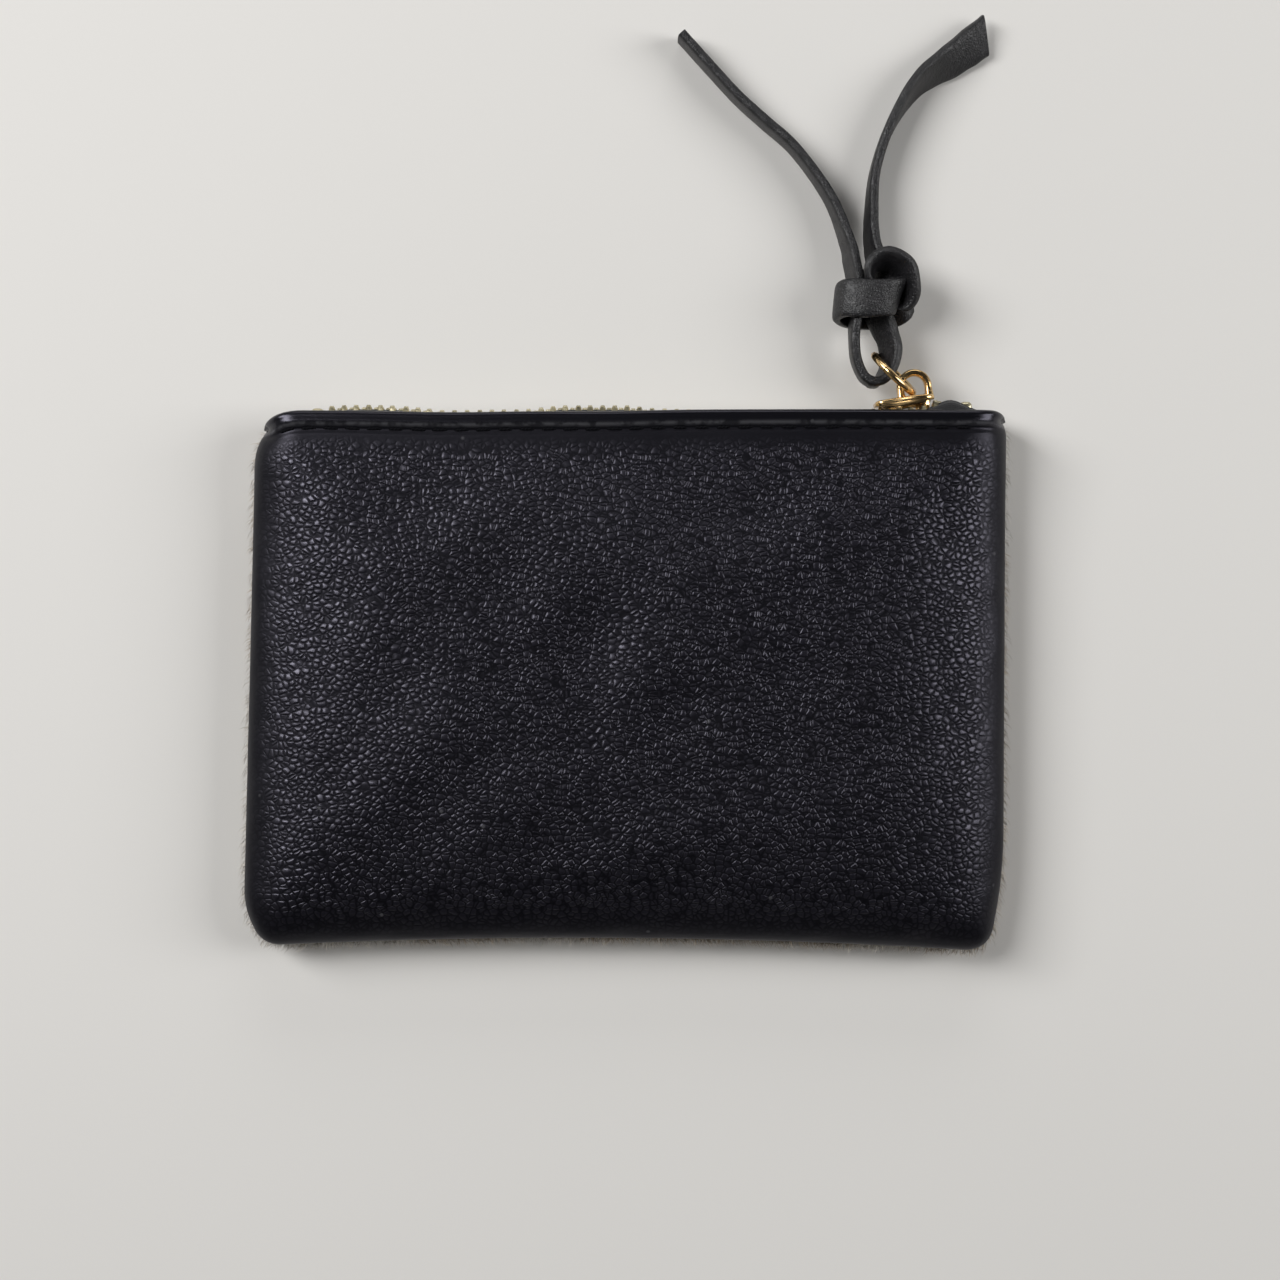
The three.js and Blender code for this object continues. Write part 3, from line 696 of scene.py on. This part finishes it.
# pale paper with a slight tooth; it glows softly far out, where the lights don't reach
def floorMaterial():
    material, tree, shader, vector = newMaterial("floorPaper", (0.68, 0.665, 0.64), 0.85)
    tooth = noiseNode(tree, vector, 900.0, 3.0)
    far = addNode(tree, "VectorMath", {0: vector}, operation="LENGTH").outputs["Value"]
    glow = mixColour(tree, spreadNode(tree, far, 0.4, 1.2), (0, 0, 0, 1), stageSet["farFloor"])
    shader.inputs["Emission Strength"].default_value = 1.0
    joinUp(tree, shader, Normal=bumpNode(tree, tooth, 0.00005, 0.2), Emission_Color=glow)
    return material


blackLeather = leatherMaterial()
laceLeather = laceMaterial()
goldMetal = metalMaterial("goldMetal", (0.78, 0.55, 0.27), (0.62, 0.41, 0.19), 0.2)
toothMetal = metalMaterial("toothMetal", (0.62, 0.56, 0.38), (0.4, 0.36, 0.24), 0.3)
zipCloth = clothMaterial("zipCloth", (0.004, 0.004, 0.005), (0.02, 0.02, 0.022), 1100.0, 0.0001, True)
liningCloth = clothMaterial("liningCloth", (0.03, 0.028, 0.027), (0.11, 0.1, 0.095), 700.0, 0.00008, False)
blackThread = threadMaterial()
hideSkin = hideMaterial()
hideHairs = hairMaterial()
print("finishes made")


def addCamera():
    data = bpy.data.cameras.new("camera")
    camera = bpy.data.objects.new("camera", data)
    bpy.context.scene.collection.objects.link(camera)
    bpy.context.scene.camera = camera
    x, y = stageSet["target"]
    camera.location = (x * mm, y * mm, (seamZ + stageSet["distance"]) * mm)
    data.sensor_width = 36
    data.lens = 36 * stageSet["distance"] / stageSet["field"]
    data.clip_start = 0.01
    data.clip_end = 10


def addLight(name):
    x, y, z, power, wide, deep = stageSet[name]
    data = bpy.data.lights.new(name, "AREA")
    data.shape = "RECTANGLE"
    data.size, data.size_y = wide, deep
    data.energy = power
    light = bpy.data.objects.new(name, data)
    bpy.context.scene.collection.objects.link(light)
    light.location = (x * mm, y * mm, z * mm)
    aim = Vector((0, 0, 0)) - light.location
    light.rotation_euler = aim.to_track_quat("-Z", "Y").to_euler()


addCamera()
for name in ("leftLight", "rightLight", "topLight"):
    addLight(name)
world = bpy.data.worlds.new("studio")
bpy.context.scene.world = world
world.use_nodes = True
# pale near the horizon and dark overhead
skyPlace = addNode(world.node_tree, "TexCoord").outputs["Generated"]
skyHeight = addNode(world.node_tree, "SeparateXYZ", {0: skyPlace}).outputs["Z"]
skyShade = spreadNode(world.node_tree, skyHeight, 0.0, 0.75)
horizon, overhead = ((c, c * 0.99, c * 0.97, 1) for c in stageSet["world"])
sky = mixColour(world.node_tree, skyShade, horizon, overhead)
seen = addNode(world.node_tree, "LightPath").outputs["Is Camera Ray"]
world.node_tree.links.new(mixColour(world.node_tree, seen, sky, stageSet["backdrop"]),
                          world.node_tree.nodes["Background"].inputs["Color"])
bpy.context.scene.view_settings.view_transform = "Standard"
floorHalf = stageSet["floorHalf"]
floorCorners = [(x * floorHalf, y * floorHalf, 0) for x, y in ((-1, -1), (1, -1), (1, 1), (-1, 1))]
floor = newMesh("floor", floorCorners, [(0, 1, 2, 3)])
floor.data.materials.append(floorMaterial())
print("camera, lights and floor")


# the lace is one flat strip through the ring, tied round itself; its two halves are laid out from the ring
ringCentre = np.mean(boxOf("pull_ring"), axis=0)
lace = {
    "wide": 6.2, "wideInRing": 5.0, "thick": 1.7, "perSpan": 9, "around": 18,
}
# each point: place from the ring's middle, height above the floor, then the way the strip's width points
leftHalf = [
    (-2.7, -1.3, 7.5, 0, 0, 1), (-3.4, -1.4, 7.5, 0, 0, 1), (-5.0, -0.4, 7.5, 0, 0, 1),
    (-6.2, 2.4, 7.5, 0, 0, 1), (-6.5, 5.7, 7.4, 0, 0.05, 1),
    (-6.3, 9.3, 7.2, 0.1, 0.1, 1), (-5.8, 12.6, 6.6, 0.15, 0.15, 1), (-6.2, 15.6, 6.0, 0.2, 0.2, 1),
    (-6.8, 19.2, 5.2, 0.2, 0.1, 1), (-7.5, 22.4, 4.6, 0.15, 0, 1), (-10.3, 29.8, 3.6, 0.05, 0, 1),
    (-15.9, 37.7, 3.4, 0, 0, 1), (-21.2, 42.5, 3.4, 0, 0, 1), (-25.6, 46.5, 3.4, 0, 0, 1),
    (-30.3, 51.6, 3.4, 0, 0, 1), (-34.9, 56.7, 3.4, 0, 0, 1),
]
rightHalf = [
    (-4.1, -1.2, 7.5, 0, 0, 1), (-3.4, -1.4, 7.5, 0, 0, 1), (-1.8, -0.6, 7.5, 0.2, -0.1, 1),
    (-0.6, 1.8, 7.4, 0.4, 0, 0.9),
    (-0.6, 4.8, 7.3, 0.55, 0, 0.8), (-1.8, 8.2, 7.0, 0.55, 0.1, 0.8), (-3.4, 11.6, 6.8, 0.4, 0.1, 0.9),
    (-4.3, 14.6, 7.6, 0.3, 0.1, 0.95), (-3.6, 17.2, 8.8, 0.1, 0.4, 0.9), (-1.2, 18.5, 9.4, 0, 0.5, 0.85),
    (1.1, 17.3, 9.2, 0.5, 0.25, 0.85), (2.0, 14.4, 8.2, 0.5, 0.1, 0.85), (1.3, 11.9, 6.3, 0.3, 0.5, 0.8),
    (-0.9, 10.9, 4.3, 0.1, 0.9, 0.4), (-4.5, 10.9, 3.3, 0, 1, 0), (-7.6, 11.2, 4.6, 0, 1, 0),
    (-9.1, 11.8, 7.4, 0.1, 1, 0), (-7.9, 12.2, 10.2, 0.1, 1, 0), (-4.4, 12.0, 11.2, 0.1, 1, 0),
    (-1.0, 12.3, 10.6, 0.1, 1, 0.1), (0.3, 13.0, 8.6, 0.4, 1, 0.3), (-0.8, 15.4, 6.0, 0.7, 0.5, 0.7),
    (-2.4, 18.6, 5.0, 0.4, 0.1, 1), (-3.3, 22.2, 4.6, 0.2, 0, 1), (-3.4, 27.0, 4.2, 0.1, 0, 1),
    (-2.7, 34.1, 3.6, 0, 0, 1), (-0.1, 41.8, 3.4, -0.05, 0, 1), (4.5, 48.8, 3.1, -0.25, 0.2, 0.9),
    (10.6, 53.2, 2.4, -0.5, 0.5, 0.6), (15.9, 57.2, 1.9, -0.6, 0.7, 0.35),
]


def laceHalf(name, points, slant, *nodes):
    values = throughPoints(points, lace["perSpan"])
    path = values[:, :3] + np.array([ringCentre[0], ringCentre[1], 0])
    far = np.linalg.norm(path - ringCentre, axis=1)
    halfWide = mix(lace["wideInRing"], lace["wide"], smooth(far, 5, 11)) / 2
    halfWide = halfWide * (1 + 0.02 * np.sin(far * 1.9))
    path[:, 2] = np.maximum(path[:, 2], lace["thick"] / 2 + 0.3)
    parts = [sweep(path, values[:, 3:], halfWide, lace["thick"] / 2, lace["around"], 4.5, slant)]
    obj = place(newPiece(name, parts, 60), "lace", laceLeather, "lace_leather", *nodes)


laceHalf("laceLeft", leftHalf, 0.0, "lace_loop", "lace_tail_left")
laceHalf("laceRight", rightHalf, 0.45, "lace_knot", "lace_tail_right")


def panel(name, piece, material, slotName, node):
    obj = panelSkin(name, piece)
    addModifier(obj, "SOLIDIFY", thickness=piece["thickness"] * mm, offset=-1.0)
    place(obj, "pouch", material, slotName, node)
    print(name, len(obj.data.vertices), "points")
    return obj


panel("frontLeather", front, blackLeather, "black_leather", "front_panel")
backSkin = panel("backHide", back, hideSkin, "hair_on_hide", "back_panel")
liningCut = {"columns": 96, "rows": 68, "inset": 0.82}  # the inset keeps the cloth clear of the skins


def addLining(name, piece, node):
    cloth = panelSkin(name, piece, turned=False, **liningCut)
    place(cloth, "pouch", liningCloth, "lining_cloth", node)


addLining("frontLiningCloth", front, "front_lining")
addLining("backLiningCloth", back, "back_lining")
print("linings")


coat = {
    "count": 52000, "length": (1.9, 3.3), "root": 0.1, "lean": 0.42, "edgeLean": 1.35, "seed": 11,
}


# places spread over a mesh by area, with the face's normal
def scatter(mesh, count, rng):
    corners = np.empty(len(mesh.polygons) * 4, np.int32)
    mesh.polygons.foreach_get("vertices", corners)
    corners = corners.reshape(-1, 4)
    points = np.empty(len(mesh.vertices) * 3)
    mesh.vertices.foreach_get("co", points)
    points = points.reshape(-1, 3) / mm
    a, b, c, d = (points[corners[:, k]] for k in range(4))
    normal = np.cross(c - a, d - b)
    area = np.linalg.norm(normal, axis=1) / 2
    chosen = rng.choice(len(area), count, p=area / area.sum())
    u, v = rng.random((2, count, 1))
    a, b, c, d = (k[chosen] for k in (a, b, c, d))
    spot = (1 - u) * (1 - v) * a + u * (1 - v) * b + u * v * c + (1 - u) * v * d
    return spot, unit(normal[chosen]), chosen


def addHair():
    rng = np.random.default_rng(coat["seed"])
    mesh = backSkin.data
    spot, normal, chosen = scatter(mesh, int(coat["count"] * 1.12), rng)
    keep = (chosen < (back["rows"] + 1) * (back["columns"] - 1))
    spot, normal = spot[keep][:coat["count"]], normal[keep][:coat["count"]]
    count = len(spot)
    side = np.clip(1 + normal[:, 2:], 0, 1)
    combed = np.column_stack([0.35 * waves(spot, 40, 4), -np.ones(count), np.zeros(count)])
    outward = np.column_stack([normal[:, :2], -0.35 * np.ones(count)])
    flow = unit(combed + rng.normal(0, 0.22, (count, 3)) + outward * side * 1.3)
    flow = unit(flow - (flow * normal).sum(1)[:, None] * normal)
    lift = mix(coat["lean"], coat["edgeLean"], side) * rng.uniform(0.5, 1.2, (count, 1))
    heading = unit(flow + normal * lift)
    length = rng.uniform(*coat["length"], (count, 1)) * mix(1.0, 0.85, side)
    across = unit(np.cross(heading, normal) + rng.normal(0, 0.3, (count, 3)))
    half = coat["root"] / 2 * rng.uniform(0.7, 1.2, (count, 1))
    bend = unit(heading + flow * 0.5 - normal * 0.25)
    base = spot - normal * 0.1
    middle = base + heading * length * 0.55
    tip = middle + bend * length * 0.45
    points = np.stack([base - across * half, base + across * half, middle - across * half * 0.8,
                       middle + across * half * 0.8, tip], 1)
    points[..., 2] = np.maximum(points[..., 2], 0.03)
    start = 5 * np.arange(count)[:, None]
    quads = (start + np.array([0, 1, 3, 2])).tolist()
    ends = (start + np.array([2, 3, 4])).tolist()
    obj = newMesh("hideHair", points.reshape(-1, 3), quads + ends)
    addFloats(obj, "tip", np.tile([0, 0, 0.5, 0.5, 1], count))
    addFloats(obj, "shade", np.repeat(rng.random(count)**2, 5))
    attribute = obj.data.attributes.new("root", "FLOAT_VECTOR", "POINT")
    attribute.data.foreach_set("vector", np.repeat(spot * mm, 5, axis=0).astype(np.float32).ravel())
    place(obj, "pouch", hideHairs, "hair_on_hide")
    print("hair", count)


addHair()


stitch = {"pitch": 3.55, "length": 2.75, "radius": 0.27, "proud": 0.06, "dive": 0.55, "reach": 57.0}


# stitches along the zip edge, each a short thread that bows out of the leather and dives in at both ends
def addStitches(name, piece, node):
    line = resample(topLine, np.linspace(0, 1, 1400))
    along = unit(np.gradient(line, axis=0))
    out = np.column_stack([-along[:, 1], along[:, 0]])
    line = line - out * piece["stitchInset"]
    line = line[np.abs(line[:, 0]) < stitch["reach"]]
    height = panelRise(piece, line)[0]
    length = np.concatenate([[0], np.cumsum(np.linalg.norm(np.diff(line, axis=0), axis=1))])
    rng = np.random.default_rng(21)
    parts = []
    t = np.linspace(-1, 1, 9)
    for i in range(int(length[-1] / stitch["pitch"])):
        middle = (i + 0.5) * stitch["pitch"]
        at = middle + t * stitch["length"] / 2 * rng.uniform(0.94, 1.04)
        sink = (stitch["proud"] + stitch["dive"]) * np.abs(t)**5
        z = np.interp(at, length, height) + stitch["proud"] - sink
        y = np.interp(at, length, line[:, 1]) + t * rng.normal(0, 0.05)
        path = np.column_stack([np.interp(at, length, line[:, 0]), y, seamZ + piece["side"] * z])
        parts.append(sweep(path, (0, 1, 0), stitch["radius"], stitch["radius"] * 0.85, 8))
    place(newPiece(name, parts, 70), "pouch", blackThread, "black_thread", node)


addStitches("frontStitches", front, "front_topstitch")
addStitches("backStitches", back, "back_topstitch")
print("stitches")


sliderLow, sliderHigh = boxOf("slider_body")
sliderCentre = (sliderLow + sliderHigh) / 2
topStopX = np.mean(boxOf("top_stop_front"), axis=0)[0]
bottomStopX = np.mean(boxOf("bottom_stop"), axis=0)[0]
chainY = np.mean(boxOf("bottom_stop"), axis=0)[1]
zipper = {
    "wander": (
        [-52, -46, -42, -37, -30, -17, -11, 0, 4, 20, 37, 44],
        [0, 0.35, 0.4, 0.2, -0.5, -0.35, 0.3, 0.3, -0.15, -0.65, -0.5, 0],
    ),
    "pitch": 2.02, "lift": 1.9, "spread": 0.9, "rowHalf": 2.2, "tapeOut": 4.0, "tapeThick": 0.4, "tapeDeep": 4.3,
    "cord": 0.45,
}


# the chain rises beside the slider and dives at the top stops; each row turns aside in front of the slider
def chainLift(x):
    start = sliderCentre[0] + 1.5
    wander = np.interp(x, *zipper["wander"])
    return zipper["lift"] * (smooth(x, start, start + 6) - smooth(x, topStopX - 3, topStopX + 3)) + wander


def rowSpread(x):
    return zipper["spread"] * smooth(x, sliderCentre[0] - 3.2, sliderCentre[0] + 3.8)


# the tape's section runs down inside the folded edge, turns and comes in to the chain, ending in a cord
def addTape(name, side, node):
    x = np.linspace(bottomStopX - 7.0, topStopX + 3.2, 210)
    corner = 0.6
    rounds = np.linspace(0, pi / 2, 6)
    runs = []
    ends = smooth(np.abs(x), topStopX - 8, topStopX - 1)
    deep = zipper["tapeDeep"] * (1 - 0.7 * ends)
    edge = np.interp(x, topLine[:, 0], panelRise(front, topLine)[0])
    outer = np.minimum(zipper["tapeOut"], edge - 2 * np.minimum(front["fold"], edge * 0.48) - 0.3)
    inner = np.minimum(zipper["rowHalf"] + 0.05 + rowSpread(x), outer - 0.65)
    lift = chainLift(x) - 1.6 * smooth(bottomStopX - x, 1.5, 6) - 1.2 * smooth(x - topStopX, 1.4, 4)
    runs.append(np.stack([x, chainY - deep, outer], 1))
    runs.append(np.stack([x, chainY - deep * 0.5, outer], 1))
    for angle in rounds:
        turnY = chainY + lift - corner + corner * sin(angle)
        turnZ = outer - corner + corner * cos(angle)
        runs.append(np.stack([x, turnY, turnZ], 1))
    runs.append(np.stack([x, chainY + lift, (inner + outer) / 2 - 0.2], 1))
    runs.append(np.stack([x, chainY + lift, inner + 0.05], 1))
    grid = np.stack(runs)
    grid[..., 2] = seamZ + side * grid[..., 2]
    across = np.concatenate([[0], np.cumsum(np.linalg.norm(np.diff(grid[:, 95], axis=0), axis=1))])
    shape = grid.shape[:2]
    laid = np.stack([np.broadcast_to(x, shape), np.broadcast_to(across[:, None], shape), np.zeros(shape)], -1)
    faces = gridFaces(*shape)
    faces = faces if side < 0 else faces[:, ::-1]
    obj = newPiece(name, [(grid.reshape(-1, 3), faces.tolist(), laid.reshape(-1, 3))], 60)
    addModifier(obj, "SOLIDIFY", thickness=zipper["tapeThick"] * mm, offset=0.0)
    place(obj, "pouch", zipCloth, "zip_tape", node)
    path = np.column_stack([x, chainY + lift, seamZ + side * np.maximum(inner - 0.25, 0.5)])
    cord = newPiece(name + "Cord", [sweep(path, (0, 1, 0), zipper["cord"], zipper["cord"] * 0.8, 12)], 60)
    place(cord, "pouch", zipCloth, "zip_tape")


# a tooth: sections from the legs that clasp the cord, over the neck, to the head with its nib
# each section: place across the chain, half its width along the zip, half its depth
toothShape = [
    (2.72, 0.34, 1.0), (2.5, 0.5, 1.2), (1.9, 0.54, 1.25), (1.45, 0.46, 1.12), (1.05, 0.4, 0.98),
    (0.6, 0.47, 1.0), (0.1, 0.5, 1.02), (-0.25, 0.44, 0.92), (-0.42, 0.28, 0.72),
]


def addTeeth(name, side, node):
    low, high = boxOf(node)
    count = int((high[0] - low[0] - zipper["pitch"] / 2) / zipper["pitch"])
    shift = 0 if side > 0 else zipper["pitch"] / 2
    rng = np.random.default_rng(31 + side)
    parts = []
    for i in range(count):
        x = low[0] + shift + (i + 0.5) * zipper["pitch"]
        lean = rng.normal(0, 0.03)
        across = np.array([s[0] for s in toothShape]) + rowSpread(x)
        height = np.full(len(across), chainY + chainLift(x))
        path = np.column_stack([x + lean * across, height, seamZ + side * across])
        wide = np.array([s[1] for s in toothShape])
        deep = np.array([s[2] for s in toothShape])
        parts.append(sweep(path, (1, 0, 0), wide, deep, 8, 3.2))
    place(newPiece(name, parts, 50), "pouch", toothMetal, "tooth_metal", node)


for name, side in (("Front", 1), ("Back", -1)):
    addTape("tape" + name, side, "zip_tape_" + name.lower())
    addTeeth("teeth" + name, side, "zip_teeth_" + name.lower())


# a clamped metal stop, a slightly pinched block round both rows or one of them
def addStop(name, node, corner=3.0):
    low, high = boxOf(node)
    middle = (low + high) / 2
    z = np.linspace(low[2], high[2], 9)
    t = np.linspace(-1, 1, 9)
    size = np.sqrt(1 - np.abs(t)**5 * 0.7)
    y = chainY + chainLift(middle[0])
    path = np.column_stack([np.full(9, middle[0]), np.full(9, y), z])
    pinch = size * (1 - 0.06 * (1 - t**2))
    part = sweep(path, (1, 0, 0), (high[0] - low[0]) / 2 * pinch, (high[1] - low[1]) / 2 * pinch, 16, corner)
    place(newPiece(name, [part], 60), "pouch", toothMetal, "tooth_metal", node)


addStop("bottomStop", "bottom_stop")
addStop("topStopFront", "top_stop_front")
addStop("topStopBack", "top_stop_back")
print("zip")


# the slider has two plates with turned flanges, joined by a divider; its bridge carries the ring
slider = {
    "tilt": 7.0, "half": 4.85, "clearance": 1.9, "plate": 0.8, "edge": 0.3, "rear": 3.0, "front": 3.9,
    "flange": 0.5, "flangeDeep": 0.55,
}
bridge = {"forward": 2.0, "radius": 2.3, "leg": 1.7, "wide": 1.1, "thick": 0.6}


def sliderPlaced(part):
    points, faces, laid = part
    turn = radians(slider["tilt"])
    u, v, w = points.T
    x = u * cos(turn) - v * sin(turn)
    y = u * sin(turn) + v * cos(turn)
    return np.column_stack([x, y, w]) + sliderCentre, faces, laid


# the plate seen along the zip's normal, wider where the rows part, its wide end notched between the rows
def plateOutline():
    half, rear, wide = slider["half"], slider["rear"], slider["front"]
    t = np.linspace(0, pi / 2, 6)
    rearEnd = [(-half + 1.3 * (1 - cos(a)), rear - 1.3 * (1 - sin(a))) for a in t]
    side = [(-3 + 0.4 * k, rear + (wide - rear) * float(smooth(0.4 * k, 0, 6))) for k in range(0, 15)]
    frontEnd = [(half - 1.6 * (1 - cos(a)), wide - 1.6 * (1 - sin(a))) for a in t[::-1]]
    notch = [(half - 0.35, 1.2), (half - 0.75, 0.5)]
    upper = rearEnd + side + frontEnd + notch
    lower = [(u, -w) for u, w in upper[::-1]]
    outline = np.array(upper + lower)
    return outline[::-1]


def addSlider():
    outline = plateOutline()
    parts = []
    for side in (1, -1):
        low = slider["clearance"]
        points, faces, laid = slab(outline, low, low + slider["plate"], slider["edge"])
        points = points[:, [0, 2, 1]]
        dome = 0.18 * (1 - (points[:, 0] / slider["half"])**2) * (points[:, 1] > low + 0.4)
        points[:, 1] = side * (points[:, 1] + dome)
        if side > 0:
            faces = [face[::-1] for face in faces]
        parts.append(sliderPlaced((points, faces, points.copy())))
        u = np.linspace(-slider["half"] + 0.9, slider["half"] - 1.6, 24)
        edge = slider["rear"] + (slider["front"] - slider["rear"]) * smooth(u, -3, 3)
        edge = edge - slider["flange"] / 2 - 0.02
        flangeHigh = np.full(len(u), side * (low - slider["flangeDeep"] / 2 + 0.2))
        for way in (1, -1):
            path = np.column_stack([u, flangeHigh, way * edge])
            parts.append(sliderPlaced(sweep(path, (0, 1, 0), slider["flangeDeep"] / 2 + 0.2,
                                            slider["flange"] / 2, 12, 4)))
    v = np.linspace(-slider["clearance"] - 0.3, slider["clearance"] + 0.3, 7)
    post = np.column_stack([np.full(7, 3.0), v, np.zeros(7)])
    parts.append(sliderPlaced(sweep(post, (1, 0, 0), 1.2, 0.42, 12, 2.4)))
    place(newPiece("sliderPlates", parts, 45), "slider", goldMetal, "gold_metal", "slider_body")


def addBridge():
    angle = np.linspace(0, pi, 25)[1:-1]
    leg = np.linspace(-0.3, bridge["leg"], 5)
    archHigh = bridge["leg"] + bridge["radius"] * np.sin(angle)
    arch = np.column_stack([-bridge["radius"] * np.cos(angle), archHigh])
    left = np.column_stack([np.full(5, -bridge["radius"]), leg])
    right = np.column_stack([np.full(5, bridge["radius"]), leg[::-1]])
    line = np.concatenate([left, arch, right])
    top = slider["clearance"] + slider["plate"] + 0.12
    path = np.column_stack([line[:, 0] + bridge["forward"], line[:, 1] + top, np.zeros(len(line))])
    foot = 1 + 0.18 * (1 - smooth(line[:, 1], 0, 1.2))
    part = sliderPlaced(sweep(path, (0, 0, 1), bridge["wide"] * foot, bridge["thick"] * foot, 16, 3.4))
    place(newPiece("sliderArch", [part], 60), "slider", goldMetal, "gold_metal", "slider_bridge")


ring = {"radius": 4.4, "wire": 0.6, "angle": 136.0, "roll": 12.0, "slit": 0.03, "slitAt": 1.9}


# a jump ring: a round wire whose two cut ends meet at a hairline slit
def addRing():
    t = ring["slitAt"] + np.linspace(ring["slit"] / 2, 2 * pi - ring["slit"] / 2, 91)
    flat = np.column_stack([np.cos(t), np.sin(t), np.zeros(len(t))]) * ring["radius"]
    roll, turn = pi / 2 + radians(ring["roll"]), radians(ring["angle"] - 180)

    def turned(p):
        x = p[:, 0]
        y = p[:, 1] * cos(roll) - p[:, 2] * sin(roll)
        z = p[:, 1] * sin(roll) + p[:, 2] * cos(roll)
        return np.column_stack([x * cos(turn) - y * sin(turn), x * sin(turn) + y * cos(turn), z])

    path = turned(flat) + ringCentre
    wide = turned(flat / ring["radius"])
    part = sweep(path, wide, ring["wire"], ring["wire"], 20)
    place(newPiece("jumpRing", [part], 60), "ring", goldMetal, "gold_metal", "pull_ring")


addSlider()
addBridge()
addRing()
print("slider, bridge and ring")
